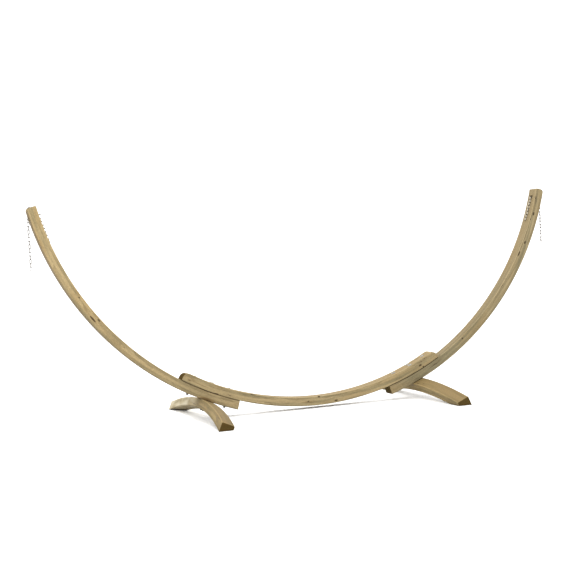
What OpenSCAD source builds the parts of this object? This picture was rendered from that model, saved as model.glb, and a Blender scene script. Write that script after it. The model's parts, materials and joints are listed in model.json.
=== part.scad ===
// Arched timber hammock stand: three curved beams bolted end over end,
// two arched cross feet, and a chain through the top of each arm.
// +X runs along the stand, +Y across it, and the ground is Z = 0.

/* [Arch] */
// Radius of the curved face where the centre beam lies on the arms
arch_r = 2038; // [1700:1:2450]
// Angle from the middle of the stand to the top of an arm, in degrees
arm_top_angle = 76.8; // [66:0.1:84]
// Angle from the middle of the stand to the lower end of an arm, in degrees
arm_low_angle = 17.2; // [12:0.1:22]
// Angle from the middle of the stand to an end of the centre beam, in degrees
centre_end_angle = 30.5; // [26:0.1:37]
// Width of the three curved beams, across the stand
beam_w = 110; // [92:1:140]
// Depth of the centre beam
centre_t = 68; // [54:1:84]
// Depth of the arms
arm_t = 68; // [57:1:84]
// Radius of the rounded long edges
arris_r = 6; // [2:0.5:10]
// Radius of the rounded top corner at the ends of the centre beam
centre_nose_r = 42; // [10:1:50]
// Radius of the rounded outer corner at the top of an arm
arm_nose_r = 24; // [5:1:30]
// Radius of the rounded inner corner at the top of an arm
arm_brow_r = 9; // [3:1:15]

/* [Feet] */
// Radius of the top of a foot's arch
foot_r = 2600; // [2150:10:3200]
// Length of a foot from end to end, across the stand
foot_len = 1410; // [1175:5:1700]
// Width of a foot, along the stand
foot_w = 96; // [84:1:120]
// Depth of a foot
foot_t = 68; // [56:1:84]
// Depth of the shallow housing in the top of a foot that the arm lies in
housing_depth = 1.5; // [1:0.5:4]
// Height that the level cut takes off the underside at the outer corner of a foot
level_cut = 1; // [0.5:0.5:5]

/* [Bolts] */
// Thread diameter of the bolts
bolt_d = 10; // [8:1:12]
// Play of a bolt in its hole
bolt_play = 1; // [0.5:0.5:3]
// Diameter of a bolt's domed head
head_d = 18; // [16:0.5:22]
// Height of a bolt's domed head
head_h = 5.5; // [4:0.5:8]
// Key size of the hexagon socket in a head
socket_af = 6; // [5:1:8]
// Depth of the hexagon socket in a head
socket_depth = 3.5; // [2:0.5:4]
// Size of a nut across its flats
nut_af = 17; // [15:1:22]
// Height of a nut
nut_h = 8; // [6:0.5:11]
// Length of thread that stands out of a nut
thread_end = 5; // [2:0.5:10]
// Diameter of the wide washers
washer_d = 34; // [28:1:40]
// Thickness of the wide washers
washer_t = 2.5; // [1.5:0.5:4]
// Room round a washer in its seat
seat_play = 1; // [0.5:0.5:2]
// Depth of the flat seat cut in the timber under a washer
seat_depth = 1; // [0.5:0.5:3]
// Distance from the end of a beam to its end bolt, along the beam
end_bolt_inset = 92; // [60:1:110]
// Distance between the two bolts through a foot, across the stand
foot_bolt_gap = 54; // [44:1:60]

/* [Chain] */
// Diameter of the chain's wire
wire_d = 4; // [3:0.1:4.6]
// Inner length of a link
link_in_len = 26; // [24:0.5:32]
// Inner width of a link
link_in_w = 9; // [8.9:0.1:12]
// Free play between two links
link_play = 0.5; // [0.4:0.1:0.7]
// Number of links that hang from the outer face of an arm
outer_links = 14; // [10:1:18]
// Number of links that lie on the inner face of an arm
inner_links = 8; // [8:1:14]
// Play of the chain in its hole
chain_hole_play = 9; // [7:0.5:14]
// Distance from the top of an arm to the middle of the chain hole, along the arm
chain_hole_inset = 63; // [50:1:80]
// Distance that the outermost link's round end stands beyond the outer face
outer_reach = 6; // [5:0.5:12]
// Distance that the innermost link's wire stands beyond the inner face
inner_reach = 12.5; // [12:0.5:18]
// Play of the screw in the link that it pins
pin_play = 1; // [1:0.5:3]
// Size of the screw's hexagon head across its flats
pin_head_af = 13; // [10:1:17]
// Height of the screw's head
pin_head_h = 5.5; // [4:0.5:8]
// Diameter of the washer under the screw's head
pin_washer_d = 20; // [16:1:24]
// Thickness of the washer under the screw's head
pin_washer_t = 1.6; // [1:0.1:3]
// Length of the screw beyond the middle of the chain hole
pin_grip = 55; // [40:1:80]

/* [Hidden] */
$fn = 72;
arch_fn = 240;    // facets of a full turn of an arch, whose radius is metres

TIMBER = [0.69, 0.61, 0.45];
TIMBER_PALE = [0.72, 0.66, 0.52];
ZINC = [0.78, 0.78, 0.76];
CHAIN_ZINC = [0.85, 0.84, 0.80];

foot_arc = 90;    // angle of the arch that a foot is sawn from
margin = 1;       // how far a cutting shape runs past what it cuts
fit_gap = 0.1;    // running clearance of threads, shanks and washers
rest_gap = 0.4;   // clearance between the chain and the timber that it lies on
head_rim = 0.8;   // height of the straight rim below a bolt's dome
pin_point_d = 1;  // diameter of the flat on the screw's point
pin_sink = 3;     // depth of the screw's washer below the highest corner of the arm's top

// Radii of the beams' top and bottom faces, from the centre of the arch
top_r = arch_r - centre_t;
arm_out_r = arch_r + arm_t;

// Both feet stand under the middle of a lap
foot_angle = (arm_low_angle + centre_end_angle) / 2;

// Heights in the frame that leans with a foot, where the arch's centre is zero
foot_crown = -arm_out_r + housing_depth;
foot_under = foot_crown - foot_t;
foot_end_under = foot_crown - foot_r + sqrt(pow(foot_r - foot_t, 2) - pow(foot_len / 2, 2));

// Height of the arch's centre: the high corner under a foot's end meets the level cut
arch_z = -level_cut - foot_w / 2 * sin(foot_angle) - foot_end_under * cos(foot_angle);

function arc_angle(length, r) = length / r * 180 / PI;
centre_bolt_angle = centre_end_angle - arc_angle(end_bolt_inset, top_r);
arm_bolt_angle = arm_low_angle + arc_angle(end_bolt_inset, arm_out_r);
lap_bolt_angles = [arm_bolt_angle, centre_bolt_angle];

bolt_hole_d = bolt_d + bolt_play;
seat_d = washer_d + 2 * seat_play;
seat_top = -top_r - seat_depth;
seat_arm = -arm_out_r + seat_depth;
seat_foot = foot_under + seat_depth;

// Chain: a link's centre line, and how far one link follows the next
wire_r = wire_d / 2;
bend_r = link_in_w / 2 + wire_r;
straight_half = link_in_len / 2 - link_in_w / 2;
link_pitch = link_in_len - link_play;
hook_drop = bend_r - wire_r - link_play + link_in_len / 2;
hang_drop = link_in_len / 2 - wire_r - link_play;

chain_hole_d = link_in_w + 2 * wire_d + chain_hole_play;
hole_angle = arm_top_angle - arc_angle(chain_hole_inset, arch_r);
chain_drop = chain_hole_d / 2 - bend_r - wire_r - rest_gap;

// Places along the chain hole, as depths below the arm's inner face
depth_outer = arm_t + outer_reach - straight_half;
depth_pinned = depth_outer - link_pitch;
depth_inner = link_in_len / 2 + wire_r - inner_reach;
depth_middle = (depth_pinned + depth_inner) / 2;

// The screw runs down the arm from its top, through the pinned link
pin_d = link_in_w - pin_play;
pin_depth = depth_pinned + link_in_len / 2 - wire_d - pin_d / 2 - 2 * link_play;
pin_seat_x = (arch_r + arm_t / 2) * tan(arm_top_angle - hole_angle) - pin_sink;

// A point of the frame that leans at angle a, as [x, z] of the stand
function leaning(a, x, z) = [x * cos(a) - z * sin(a), arch_z + x * sin(a) + z * cos(a)];

// Where the outer chain turns on the outermost link's round end
outer_turn = leaning(hole_angle, -chain_drop, -arch_r - depth_outer - straight_half);

// Where the inner chain turns: on the innermost link's wire, then on its own first link
inner_hang = [-chain_drop, -arch_r + inner_reach];
first_link_rise = bend_r + wire_r + rest_gap;
first_link_span = hang_drop + straight_half;
first_link_lean = asin((inner_reach - first_link_rise) / first_link_span);
first_link_turn = [
    inner_hang[0] - first_link_span * cos(first_link_lean),
    inner_hang[1] - first_link_span * sin(first_link_lean)
];

// The links twist as they settle on the face, each a quarter turn or nearly from the one
// before it, and the last one lies flat
quarter = 90;
settling = 15;
last_ramp = 3;
ramp_turn = (inner_links % 2 == 0 ? -1 : 1) * (quarter - settling);
function link_twist(k) =
    k <= 4 ? (k - 1) * (quarter + settling)
    : k > inner_links - last_ramp ? quarter + (inner_links - k) * ramp_turn
    : quarter / 2 + (k + 1) % 2 * quarter;
function lying_rise(k) = bend_r * abs(cos(link_twist(k))) + wire_r + rest_gap;
neighbour_slack = 0.6;
function link_rise(k) =
    max([for (j = [1 : inner_links]) lying_rise(j) - neighbour_slack * abs(j - k)]);
function lying_angle(k) =
    hole_angle - arc_angle(-first_link_turn[0] + hook_drop + (k - 2) * link_pitch, arch_r);

// ---- frames ----

// Leans with the arch at an angle: -Z points from the arch's centre through the beams
module at_angle(a) translate([0, 0, arch_z]) rotate([0, -a, 0]) children();

// The left half of the stand is the right half mirrored
module on_side(side) mirror([side == "left" ? 1 : 0, 0, 0]) children();

// ---- timber ----

module rounded_section(depth, width, r) {
    translate([0, -width / 2 + r]) square([depth, width - 2 * r]);
    translate([r, -width / 2]) square([depth - 2 * r, width]);
    for (x = [r, depth - r], y = [-width / 2 + r, width / 2 - r])
        translate([x, y]) circle(r, $fn = 48);
}

module curved_beam(r_in, depth, width, from, to)
    translate([0, 0, arch_z])
        rotate([0, 90 - from, 0])
            rotate([90, 0, 0])
                rotate_extrude(angle = to - from, $fn = arch_fn)
                    translate([r_in, 0]) rounded_section(depth, width, arris_r);

// What is cut from a square corner to round it, for timber that lies in -X and -Z
module corner_cut(r, width)
    rotate([90, 0, 0])
        linear_extrude(width + 2 * margin, center = true)
            difference() {
                translate([-r, -r]) square(r + margin);
                translate([-r, -r]) circle(r);
            }

module bolt_hole(a, y, from, to)
    at_angle(a) translate([0, y, from]) cylinder(d = bolt_hole_d, h = to - from);

module lap_bolt_holes()
    for (a = lap_bolt_angles) bolt_hole(a, 0, -arm_out_r - margin, -top_r + margin);

module foot_bolt_holes()
    for (y = [-1, 1] * foot_bolt_gap / 2)
        bolt_hole(foot_angle, y, foot_under - margin, -top_r + margin);

// Flat seats for the washers on top of the centre beam, at one lap
module top_seats() {
    for (a = lap_bolt_angles)
        at_angle(a) translate([0, 0, seat_top]) cylinder(d = seat_d, h = seat_depth + margin);
    for (y = [-1, 1] * foot_bolt_gap / 2)
        at_angle(foot_angle) translate([0, y, seat_top]) cylinder(d = seat_d, h = seat_depth + margin);
}

module centre_beam() {
    nose_r = min(centre_nose_r, centre_t - arris_r);
    nose_z = -sqrt(pow(top_r, 2) - pow(nose_r, 2));
    color(TIMBER)
        difference() {
            curved_beam(top_r, centre_t, beam_w, -centre_end_angle, centre_end_angle);
            for (side = ["right", "left"])
                on_side(side) {
                    at_angle(centre_end_angle) translate([0, 0, nose_z]) corner_cut(nose_r, beam_w);
                    lap_bolt_holes();
                    foot_bolt_holes();
                    top_seats();
                }
        }
}

module arm(side) {
    nose_r = min(arm_nose_r, arm_t / 2 - margin);
    color(TIMBER)
        on_side(side)
            difference() {
                curved_beam(arch_r, arm_t, beam_w, arm_low_angle, arm_top_angle);
                lap_bolt_holes();
                foot_bolt_holes();
                for (a = lap_bolt_angles)
                    at_angle(a)
                        translate([0, 0, seat_arm - seat_depth - margin])
                            cylinder(d = seat_d, h = seat_depth + margin);
                at_angle(arm_top_angle) {
                    translate([0, 0, -arch_r]) corner_cut(arm_brow_r, beam_w);
                    translate([0, 0, -arm_out_r]) mirror([0, 0, 1]) corner_cut(nose_r, beam_w);
                }
                at_angle(hole_angle) {
                    translate([0, 0, -arm_out_r - margin])
                        cylinder(d = chain_hole_d, h = arm_t + 2 * margin);
                    translate([-pin_grip, 0, -arch_r - pin_depth])
                        rotate([0, 90, 0])
                            cylinder(d = pin_d + 2 * fit_gap, h = pin_grip + chain_hole_inset + pin_d);
                    translate([pin_seat_x, 0, -arch_r - pin_depth])
                        rotate([0, 90, 0]) cylinder(d = pin_washer_d + 2 * seat_play, h = pin_d);
                }
            }
}

// The foot is an arch across the stand that leans with the lap, cut level at the ground
module foot(side) {
    color(TIMBER_PALE)
        on_side(side)
            difference() {
                intersection() {
                    at_angle(foot_angle)
                        translate([foot_w / 2, 0, foot_crown - foot_r])
                            rotate([0, -90, 0])
                                rotate([0, 0, -foot_arc / 2])
                                    rotate_extrude(angle = foot_arc, $fn = arch_fn)
                                        translate([foot_r - foot_t, foot_w / 2])
                                            rounded_section(foot_t, foot_w, arris_r);
                    translate([0, -foot_len / 2, 0]) cube([arch_r, foot_len, arch_r]);
                }
                translate([0, 0, arch_z])
                    rotate([90, 0, 0]) cylinder(r = arm_out_r, h = beam_w, center = true, $fn = arch_fn);
                foot_bolt_holes();
                at_angle(foot_angle)
                    for (y = [-1, 1] * foot_bolt_gap / 2)
                        translate([0, y, seat_foot - foot_t / 2]) cylinder(d = seat_d, h = foot_t / 2);
            }
}

// ---- fasteners ----

// A domed socket head on a plain shank: the head's underside is Z = 0 and the shank points down
module socket_bolt(length) {
    dome_r = (pow(head_d / 2, 2) + pow(head_h, 2)) / (2 * head_h);
    difference() {
        intersection() {
            cylinder(d = head_d, h = head_h);
            translate([0, 0, head_h - dome_r + head_rim / 2]) sphere(dome_r + head_rim / 2);
        }
        translate([0, 0, head_h - socket_depth])
            cylinder(d = socket_af / cos(30), h = socket_depth + margin, $fn = 6);
    }
    translate([0, 0, -length + margin]) cylinder(d = bolt_d, h = length);
    translate([0, 0, -length]) cylinder(d1 = bolt_d - 2 * margin, d2 = bolt_d, h = margin);
}

module washer(outer, inner, thickness)
    difference() {
        cylinder(d = outer, h = thickness);
        translate([0, 0, -margin]) cylinder(d = inner, h = thickness + 2 * margin);
    }

module hex_nut()
    difference() {
        cylinder(d = nut_af / cos(30), h = nut_h, $fn = 6);
        translate([0, 0, -margin]) cylinder(d = bolt_d + 2 * fit_gap, h = nut_h + 2 * margin);
    }

// Places one set of fasteners at every bolt of a lap's ends, or at the two bolts of a foot
module at_lap_bolts(side, z)
    on_side(side)
        for (a = lap_bolt_angles) at_angle(a) translate([0, 0, z]) children();

module at_foot_bolts(side, z)
    on_side(side)
        at_angle(foot_angle)
            for (y = [-1, 1] * foot_bolt_gap / 2) translate([0, y, z]) children();

function bolt_len(seat) = seat_top + washer_t - seat + washer_t + nut_h + thread_end;

module lap_bolts(side)
    color(ZINC) at_lap_bolts(side, seat_top + washer_t) socket_bolt(bolt_len(seat_arm));
module lap_head_washers(side)
    color(ZINC) at_lap_bolts(side, seat_top) washer(washer_d, bolt_hole_d, washer_t);
module lap_nut_washers(side)
    color(ZINC) at_lap_bolts(side, seat_arm - washer_t) washer(washer_d, bolt_hole_d, washer_t);
module lap_nuts(side) color(ZINC) at_lap_bolts(side, seat_arm - washer_t - nut_h) hex_nut();

module foot_bolts(side)
    color(ZINC) at_foot_bolts(side, seat_top + washer_t) socket_bolt(bolt_len(seat_foot));
module foot_head_washers(side)
    color(ZINC) at_foot_bolts(side, seat_top) washer(washer_d, bolt_hole_d, washer_t);
module foot_nut_washers(side)
    color(ZINC) at_foot_bolts(side, seat_foot - washer_t) washer(washer_d, bolt_hole_d, washer_t);
module foot_nuts(side) color(ZINC) at_foot_bolts(side, seat_foot - washer_t - nut_h) hex_nut();

module at_pin(side, x)
    on_side(side)
        at_angle(hole_angle) translate([x, 0, -arch_r - pin_depth]) rotate([0, 90, 0]) children();

module chain_pin(side)
    color(ZINC)
        at_pin(side, 0) {
            tip = pin_d / 2;
            head_z = pin_seat_x + pin_washer_t;
            translate([0, 0, tip - pin_grip]) cylinder(d = pin_d, h = pin_grip - tip + head_z + margin);
            translate([0, 0, -pin_grip]) cylinder(d1 = pin_point_d, d2 = pin_d, h = tip);
            translate([0, 0, head_z]) cylinder(d = pin_head_af / cos(30), h = pin_head_h, $fn = 6);
        }

module pin_washer(side)
    color(ZINC) at_pin(side, pin_seat_x) washer(pin_washer_d, pin_d + 4 * fit_gap, pin_washer_t);

// ---- chain ----

// A link along X, lying in the XZ plane
module link()
    rotate([90, 0, 0]) {
        for (turn = [0, 180])
            rotate([0, 0, turn])
                translate([straight_half, 0, 0])
                    rotate([0, 0, -90]) rotate_extrude(angle = 180) translate([bend_r, 0]) circle(wire_r);
        for (y = [-bend_r, bend_r])
            translate([-straight_half, y, 0])
                rotate([0, 90, 0]) cylinder(r = wire_r, h = 2 * straight_half);
    }

// Links through the hole: outermost upright, the pinned one flat, and so on inwards
module through_links(side) {
    depths = [depth_outer, depth_pinned, depth_middle, depth_inner];
    color(CHAIN_ZINC)
        on_side(side)
            at_angle(hole_angle)
                for (i = [0 : len(depths) - 1])
                    translate([-chain_drop, 0, -arch_r - depths[i]])
                        rotate([0, 90, 0]) rotate([i % 2 * 90, 0, 0]) link();
}

// Hanging links, counted from the top; the first one lies across the stand
module hanging_links(side, first, last)
    color(CHAIN_ZINC)
        on_side(side)
            for (k = [first : last])
                translate([outer_turn[0], 0, outer_turn[1] - hook_drop - (k - 1) * link_pitch])
                    rotate([0, 90, 0]) rotate([k % 2 * 90, 0, 0]) link();

outer_split = floor(outer_links / 4) * 2 + 1;
module outer_top_link(side) hanging_links(side, 1, 1);
module outer_upper_links(side) hanging_links(side, 2, outer_split);
module outer_lower_links(side) hanging_links(side, outer_split + 1, outer_links);

module inner_top_link(side)
    color(CHAIN_ZINC)
        on_side(side)
            at_angle(hole_angle)
                translate([inner_hang[0], 0, inner_hang[1]])
                    rotate([0, -first_link_lean, 0]) translate([-hang_drop, 0, 0]) link();

module lying_links(side, first, last)
    color(CHAIN_ZINC)
        on_side(side)
            for (k = [first : last])
                at_angle(lying_angle(k))
                    translate([0, 0, -arch_r + link_rise(k)]) rotate([link_twist(k), 0, 0]) link();

module inner_links(side) lying_links(side, 2, inner_links - 1);
module hammock_link(side) lying_links(side, inner_links, inner_links);

// ---- the assembly ----

centre_beam();
for (side = ["right", "left"]) {
    arm(side);
    foot(side);
    lap_bolts(side);
    lap_head_washers(side);
    lap_nut_washers(side);
    lap_nuts(side);
    foot_bolts(side);
    foot_head_washers(side);
    foot_nut_washers(side);
    foot_nuts(side);
    chain_pin(side);
    pin_washer(side);
    through_links(side);
    outer_top_link(side);
    outer_upper_links(side);
    outer_lower_links(side);
    inner_top_link(side);
    inner_links(side);
    hammock_link(side);
}
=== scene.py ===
import json
import math

import bmesh
import bpy
import numpy as np
from bpy.props import FloatProperty, FloatVectorProperty, PointerProperty
from mathutils import Matrix, Vector


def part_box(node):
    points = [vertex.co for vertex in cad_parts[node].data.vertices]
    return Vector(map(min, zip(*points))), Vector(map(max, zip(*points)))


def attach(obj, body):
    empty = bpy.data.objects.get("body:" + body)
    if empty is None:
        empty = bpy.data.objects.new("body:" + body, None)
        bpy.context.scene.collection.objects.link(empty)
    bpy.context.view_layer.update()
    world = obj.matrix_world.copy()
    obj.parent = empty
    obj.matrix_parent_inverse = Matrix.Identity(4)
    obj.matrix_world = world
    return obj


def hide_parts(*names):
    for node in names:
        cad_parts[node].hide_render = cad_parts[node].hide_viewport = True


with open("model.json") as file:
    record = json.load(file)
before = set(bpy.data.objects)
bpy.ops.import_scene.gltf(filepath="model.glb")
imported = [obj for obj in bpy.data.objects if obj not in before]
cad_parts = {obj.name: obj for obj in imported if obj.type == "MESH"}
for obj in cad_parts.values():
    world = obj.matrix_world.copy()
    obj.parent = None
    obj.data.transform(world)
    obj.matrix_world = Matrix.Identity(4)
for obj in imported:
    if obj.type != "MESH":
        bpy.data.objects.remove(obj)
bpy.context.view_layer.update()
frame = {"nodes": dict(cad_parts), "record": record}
CENTRE_BEAM_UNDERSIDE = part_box("centre_beam")[0].z

bl_info = {
    "name": "Arched hammock stand",
    "version": (1, 0, 0),
    "blender": (4, 5, 0),
    "location": "View3D > Sidebar > Hammock stand",
    "description": "Builds the timber, the bolts and the chains of an arched hammock stand",
    "category": "Object",
}

SIDES = ("right", "left")
MILLIMETRE = 0.001
SHARP_ANGLE = math.radians(38)
TOOL_REACH = 0.02  # how far a cutting tool runs on past what it cuts
REST_GAP = 0.4 * MILLIMETRE  # room between the chain and the hole that it rests in
FOOT_SPARE = 0.02  # angle that a foot's arch runs on past its sawn ends
SAWN_FACING = 0.72  # how nearly a face has to look along the timber to be sawn end grain
KNOT_BREADTH = 0.03  # how deep a knot goes in from the face
SHADE_REACH = 0.020  # how far off a hollow's other wall may be for painted shade to fall in it

# How often each pattern comes in a metre of timber: along it, across it and into it
KNOT_CELLS = (3.1, 8.3, 11.0)
PITH_DRIFT = (1.15, 4.0, 3.0)
RING_RIPPLE = (6.0, 26.0, 26.0)
RING_FADE = (2.2, 30.0, 30.0)
FIBRES = (16.0, 620.0, 620.0)
SPECKLES = (95.0, 210.0, 210.0)
CRACKS = (1.7, 34.0, 40.0)
CRACKED_PARTS = (3.4, 17.0, 17.0)
WARM_PARTS = (3.0, 9.0, 9.0)
MOSS_STREAKS = (1.7, 24.0, 30.0)
MOSS_START = (5.3, 1.7, 0.4)
WEAR_AND_HIGHLIGHT_PARTS = (14.0, 60.0, 60.0)
BLEACHED_PARTS = (7.0, 18.0, 18.0)
DIRTY_PARTS = (5.0, 40.0, 40.0)
PORES = (40.0, 420.0, 420.0)

# Factors on the timber's colour
KNOT_HALO = (0.62, 0.50, 0.36)
# painted light: the top faces are made paler, as if lit from above
PAINTED_TOP_LIGHT = (1.34, 1.30, 1.24)
# painted shade: the undersides are made darker, as if in shade
PAINTED_UNDERSIDE_SHADE = (0.60, 0.56, 0.46)
TONES = {
    "centre_beam": (0.98, 0.98, 0.98),
    "right_arm": (0.83, 0.86, 0.91),
    "left_arm": (1.18, 1.17, 1.16),
    "foot": (0.76, 0.73, 0.62),
}
BEAM_MOSS, FOOT_MOSS = 0.6, 0.5
LEFT_ARM_PALER_UPWARDS = (0.8, 2.6)  # distances along the arch between which the left arm gets paler
LEFT_FOOT_BLEACH = (-0.05, 0.35)  # distances along the left foot between which it greys

# Knots on the near faces: degrees along the arch, depth, half length, half height, strength
KNOTS = {
    "centre_beam": (
        (0.5, 0.004, 0.016, 0.010, 0.6), (4.4, 0.051, 0.020, 0.009, 0.6),
        (-2.0, 0.033, 0.014, 0.008, 0.5), (-29.0, 0.044, 0.040, 0.018, 0.26),
        (-22.5, 0.066, 0.022, 0.008, 0.8), (25.8, 0.038, 0.017, 0.010, 0.7),
        (26.3, 0.060, 0.010, 0.008, 0.6),
    ),
    "right_arm": (
        (71.0, 0.021, 0.018, 0.010, 1.0), (69.6, 0.008, 0.010, 0.006, 0.6),
        (64.2, 0.024, 0.017, 0.010, 0.9), (61.3, 0.011, 0.030, 0.008, 0.8),
        (37.6, 0.015, 0.012, 0.008, 0.7),
    ),
    "left_arm": (
        (-52.3, 0.041, 0.036, 0.008, 1.0), (-51.3, 0.015, 0.026, 0.009, 0.45),
        (-57.2, 0.020, 0.010, 0.006, 0.7), (-44.0, 0.030, 0.016, 0.006, 0.3),
    ),
}

# Lights: name, setting with its power, size and place in metres
LIGHTS = (("key_light", "key", 7.0, (-2.0, 1.0, 6.5)), ("fill_light", "fill", 5.0, (-4.5, -6.0, 3.5)))

BODY_OF = {
    node: body
    for body, nodes in frame["record"]["behaviour"]["bodies"].items()
    for node in nodes
}


# ---- settings ----


def length(name, description, default):
    return FloatProperty(name=name, description=description, default=default, unit="LENGTH", min=0.0)


def angle(name, description, degrees):
    return FloatProperty(name=name, description=description, default=math.radians(degrees), subtype="ANGLE")


def power(name, description, watts):
    return FloatProperty(name=name, description=description, default=watts, unit="POWER")


def colour(name, description, default):
    return FloatVectorProperty(
        name=name, description=description, default=default, subtype="COLOR", min=0.0, max=1.0
    )


class TimberSettings(bpy.types.PropertyGroup):
    """Sizes and colours of the beams and the feet."""

    arch_radius: length("Arch radius", "Radius of the face where the beams meet", 2.038)
    beam_width: length("Beam width", "Width of the curved beams, across the stand", 0.110)
    centre_depth: length("Centre beam depth", "Depth of the centre beam", 0.068)
    arm_depth: length("Arm depth", "Depth of the arms", 0.068)
    arris: length("Arris", "Radius of the rounded long edges", 0.006)
    end_edge: length("End edge", "Radius of the softened edges round the sawn ends", 0.0025)
    centre_nose: length("Centre nose", "Radius of the top corner at the centre beam's ends", 0.042)
    arm_nose: length("Arm nose", "Radius of the outer corner at an arm's top", 0.024)
    arm_brow: length("Arm brow", "Radius of the inner corner at an arm's top", 0.009)
    centre_end: angle("Centre beam end", "Where the centre beam ends", 30.5)
    arm_low: angle("Arm low end", "Where an arm begins, low down", 17.2)
    arm_top: angle("Arm top", "Where an arm ends, at its top", 76.8)
    foot_radius: length("Foot radius", "Radius of the top of a foot's arch", 2.600)
    foot_length: length("Foot length", "Length of a foot, across the stand", 1.410)
    foot_width: length("Foot width", "Width of a foot, along the stand", 0.096)
    foot_depth: length("Foot depth", "Depth of a foot", 0.068)
    housing: length("Housing", "Depth of the housing in a foot that the arm lies in", 0.0015)
    seat_depth: length("Seat depth", "Depth of the flat seats under the washers", 0.001)
    seat_play: length("Seat play", "Room round a washer in its seat", 0.001)
    hole_play: length("Hole play", "Room round a bolt in its hole", 0.0005)
    chain_hole: length("Chain hole", "Diameter of the hole for the chain", 0.026)
    hole_flare: length("Hole flare", "Width of the worn edge round the chain hole", 0.0015)
    layer: length("Layer", "Thickness of the boards that are glued into a beam", 0.0227)
    ring_gap: length("Ring gap", "Distance from one growth ring to the next", 0.0052)

    pale: colour("Early wood", "Pale wood of a growth ring", (0.312, 0.238, 0.122))
    deep: colour("Late wood", "Dark wood of a growth ring", (0.171, 0.125, 0.058))
    ochre: colour("Ochre", "Warm patches", (0.250, 0.171, 0.071))
    moss: colour("Preservative", "Grey-green tint of the preservative", (0.138, 0.122, 0.067))
    knot: colour("Knot", "Heart of a knot", (0.055, 0.036, 0.015))
    sawn: colour("Sawn end", "Open end grain", (0.052, 0.032, 0.008))
    # also painted shade: the same dark colour is laid into hollows and gaps as shade, besides the dirt in the
    # joints
    darkening: colour("Grime", "Dirt in the joints between timbers", (0.034, 0.023, 0.009))
    bleached: colour("Bleached", "Timber that has greyed", (0.600, 0.560, 0.470))
    glue: colour("Glue", "Glue lines between the boards", (0.11, 0.08, 0.04))
    # paler long edges: wear, and also a painted highlight along the rounded edges
    worn: colour("Worn edge", "Long edges that have been rubbed pale", (0.52, 0.42, 0.26))
    crack: colour("Crack", "Inside of a drying crack", (0.046, 0.032, 0.017))
    sawn_late: colour("Sawn late wood", "Late wood in the open end grain", (0.026, 0.016, 0.005))
    pore: colour("Pore", "Pale pores in the open end grain", (0.150, 0.102, 0.038))


class FastenerSettings(bpy.types.PropertyGroup):
    """Sizes and colour of the bolts, nuts, washers and screws."""

    head: length("Head", "Diameter of a bolt's domed head", 0.018)
    head_height: length("Head height", "Height of a bolt's domed head", 0.0055)
    head_rim: length("Head rim", "Height of the straight rim under the dome", 0.0008)
    socket: length("Socket", "Key size of the socket in a head", 0.006)
    socket_depth: length("Socket depth", "Depth of the socket in a head", 0.0035)
    thread_pitch: length("Thread pitch", "Distance between two turns of a thread", 0.0015)
    thread_depth: length("Thread depth", "Depth of a thread", 0.0007)
    thread_length: length("Thread length", "Length of thread on a bolt", 0.026)
    edge: length("Edge", "Width of the softened edge of a washer or a nut", 0.0006)
    screw_head: length("Screw head", "Height of a chain screw's head", 0.0055)
    screw_flats: length("Screw flats", "Key size of a chain screw", 0.013)
    screw_rim: length("Screw rim", "Height of the chamfer on a chain screw's head", 0.0014)
    screw_radius: length("Screw radius", "Radius of a chain screw over its thread", 0.004)
    screw_pitch: length("Screw pitch", "Distance between two turns of a chain screw's thread", 0.0036)
    zinc: colour("Zinc", "Dull zinc plating", (0.420, 0.410, 0.375))
    zinc_dark: colour("Tarnish", "Tarnished zinc", (0.120, 0.105, 0.080))
    stain: colour("Stain", "Brown stain on the nuts", (0.050, 0.036, 0.020))
    screw_dark: colour("Screw tarnish", "Tarnish on the chain screws", (0.12, 0.10, 0.08))


class ChainSettings(bpy.types.PropertyGroup):
    """Sizes and colour of the chains."""

    wire: length("Wire", "Diameter of the wire", 0.004)
    link_length: length("Link length", "Inner length of a link", 0.026)
    link_width: length("Link width", "Inner width of a link", 0.009)
    weld: FloatProperty(name="Weld", description="How much thicker the wire is at its weld", default=0.14)
    zinc: colour("Zinc", "Plating of the links that lie on the timber", (0.620, 0.580, 0.490))
    # painted shade: a darker copy of the links' plating for the links that hang free, while the links on the
    # timber keep the pale copy
    painted_shade_zinc: colour("Weathered zinc", "Plating of the links that hang free", (0.125, 0.094, 0.054))
    # dark at the bent ends where links touch: wear, and also painted contact shade
    zinc_dark: colour("Wear", "Dark wear where links rub", (0.060, 0.042, 0.020))


class StageSettings(bpy.types.PropertyGroup):
    """Floor, light and camera."""

    floor_size: length("Floor size", "Width of the floor", 60.0)
    floor: colour("Floor", "Pale floor", (0.960, 0.960, 0.955))
    sky: FloatProperty(name="Sky", description="Strength of the even light", default=1.72)
    key: power("Key light", "Power of the large soft light overhead", 134.0)
    fill: power("Fill light", "Power of the soft light in front", 40.0)
    azimuth: angle("Camera azimuth", "Direction of the camera round the stand", -20.556)
    elevation: angle("Camera elevation", "Height of the camera, as an angle", 3.091)
    roll: angle("Camera roll", "Tilt of the camera", -3.028)
    distance: length("Camera distance", "Distance of the camera from the stand", 8.814)
    target: FloatVectorProperty(
        name="Target", description="Point that the camera turns round", default=(0.005, -0.001, 0.700),
        subtype="TRANSLATION", unit="LENGTH",
    )
    lens: FloatProperty(name="Lens", description="Focal length of the camera, in millimetres", default=73.715)
    shift: FloatVectorProperty(
        name="Shift", description="Sideways and upward shift of the lens", size=2,
        default=(-0.0449, 0.0528),
    )


# ---- places, read from the frame ----


def timber():
    return bpy.context.scene.stand_timber


def fasteners():
    return bpy.context.scene.stand_fasteners


def chain():
    return bpy.context.scene.stand_chain


def arch_centre():
    """Centre of the arch, from the underside of the centre beam."""
    return Vector((0.0, 0.0, CENTRE_BEAM_UNDERSIDE + timber().arch_radius))


def leaning(turn):
    """Frame that leans with the arch: -Z points from its centre through the beams at an angle."""
    return Matrix.Translation(arch_centre()) @ Matrix.Rotation(-turn, 4, "Y")


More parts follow.
